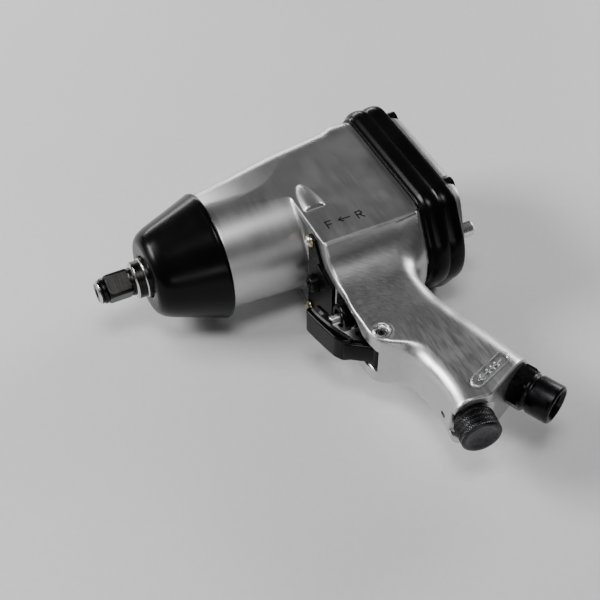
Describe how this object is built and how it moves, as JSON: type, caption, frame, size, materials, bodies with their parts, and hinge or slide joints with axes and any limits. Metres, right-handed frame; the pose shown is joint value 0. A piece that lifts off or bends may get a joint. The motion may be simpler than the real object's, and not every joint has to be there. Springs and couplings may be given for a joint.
{
  "type": "air impact wrench",
  "caption": "Pistol-grip pneumatic impact wrench with a square drive, a lever trigger, a push-pull reverse rod, an air regulator knob and a threaded air inlet.",
  "frame": {"origin": "middle of the base of the tool's box as it lies on its right side", "axes": "-X towards the square drive, +Y the tool's own up (the handle hangs towards -Y), +Z the tool's left side, up from the surface it lies on"},
  "size_m": [0.1944, 0.2102, 0.069],
  "materials": {
    "casting": "satin, brushed and ground cast aluminium",
    "black_rubber": "smooth glossy black",
    "black_plastic": "moulded gloss black",
    "dark_steel": "dark phosphated, worn bright on edges",
    "black_oxide": "black oxide",
    "bright_steel": "ground bright",
    "hardened_steel": "heat treated",
    "bronze": "sintered bronze",
    "yellow_zinc": "yellow zinc plated",
    "phenolic": "cloth-filled phenolic",
    "gasket_paper": "pressed fibre sheet",
    "nitrile": "matte black"
  },
  "bodies": {
    "casing": {"housing": "casting", "nose_boot": "black_rubber", "rear_bumper": "black_rubber", "rear_gasket": "gasket_paper", "rear_cover": "casting", "cover_screw_1": "black_oxide", "cover_screw_2": "black_oxide", "cover_screw_3": "black_oxide", "cover_screw_4": "black_oxide", "cover_washer_1": "dark_steel", "cover_washer_2": "dark_steel", "cover_washer_3": "dark_steel", "cover_washer_4": "dark_steel", "anvil_bushing": "bronze", "motor_cylinder": "hardened_steel", "front_end_plate": "bright_steel", "rear_end_plate": "bright_steel", "front_bearing": "bright_steel", "rear_bearing": "bright_steel", "motor_dowel": "bright_steel", "reverse_bush": "bronze", "trigger_plate": "black_plastic", "plate_screw_1": "yellow_zinc", "plate_screw_2": "yellow_zinc", "trigger_pin": "bright_steel", "throttle_bush": "black_plastic", "throttle_spring": "bright_steel", "inlet_bushing": "black_oxide", "inlet_screen": "bright_steel"},
    "anvil_set": {"anvil": "dark_steel", "friction_ring": "black_oxide", "friction_o_ring": "nitrile"},
    "rotor_set": {"rotor": "bright_steel", "hammer_cage": "hardened_steel", "dog_pin": "bright_steel", "stop_pin": "bright_steel", "vane_1": "phenolic", "vane_2": "phenolic", "vane_3": "phenolic", "vane_4": "phenolic", "vane_5": "phenolic", "vane_6": "phenolic"},
    "dog": {"hammer_dog": "hardened_steel"},
    "trigger_lever": {"trigger": "black_plastic"},
    "throttle": {"throttle_stem": "bright_steel"},
    "reverser": {"reverse_valve": "bright_steel"},
    "regulator": {"regulator_knob": "black_oxide", "regulator_valve": "bright_steel", "regulator_o_ring": "nitrile"}
  },
  "joints": [
    {"name": "rotor_spin", "type": "hinge", "parent": "casing", "child": "rotor_set", "pos_m": [0.03575, 0.06009, 0.0345], "axis": [1, 0, 0], "continuous": true},
    {"name": "anvil_spin", "type": "hinge", "parent": "casing", "child": "anvil_set", "pos_m": [-0.06525, 0.06009, 0.0345], "axis": [1, 0, 0], "continuous": true},
    {"name": "dog_rock", "type": "hinge", "parent": "rotor_set", "child": "dog", "pos_m": [-0.01725, 0.07869, 0.0345], "axis": [1, 0, 0], "range_deg": [-2, 2]},
    {"name": "trigger_pull", "type": "hinge", "parent": "casing", "child": "trigger_lever", "pos_m": [0.01175, -0.03691, 0.0345], "axis": [0, 0, -1], "range_deg": [0, 9.2], "stiffness_Nm_per_rad": 0.2, "springref_deg": -11.46},
    {"name": "throttle_open", "type": "slide", "parent": "casing", "child": "throttle", "axis": [1, 0, 0], "range_m": [0, 0.00457]},
    {"name": "reverse_push", "type": "slide", "parent": "casing", "child": "reverser", "axis": [-1, 0, 0], "range_m": [0, 0.008]},
    {"name": "regulator_turn", "type": "hinge", "parent": "casing", "child": "regulator", "pos_m": [0.03125, -0.08841, 0.0345], "axis": [-0.1395, -0.9902, 0], "range_deg": [0, 270]}
  ],
  "couplings": [
    {"joint": "anvil_spin", "follows": "rotor_spin", "ratio": 1},
    {"joint": "trigger_pull", "follows": "throttle_open", "rad_per_m": 35.088}
  ]
}
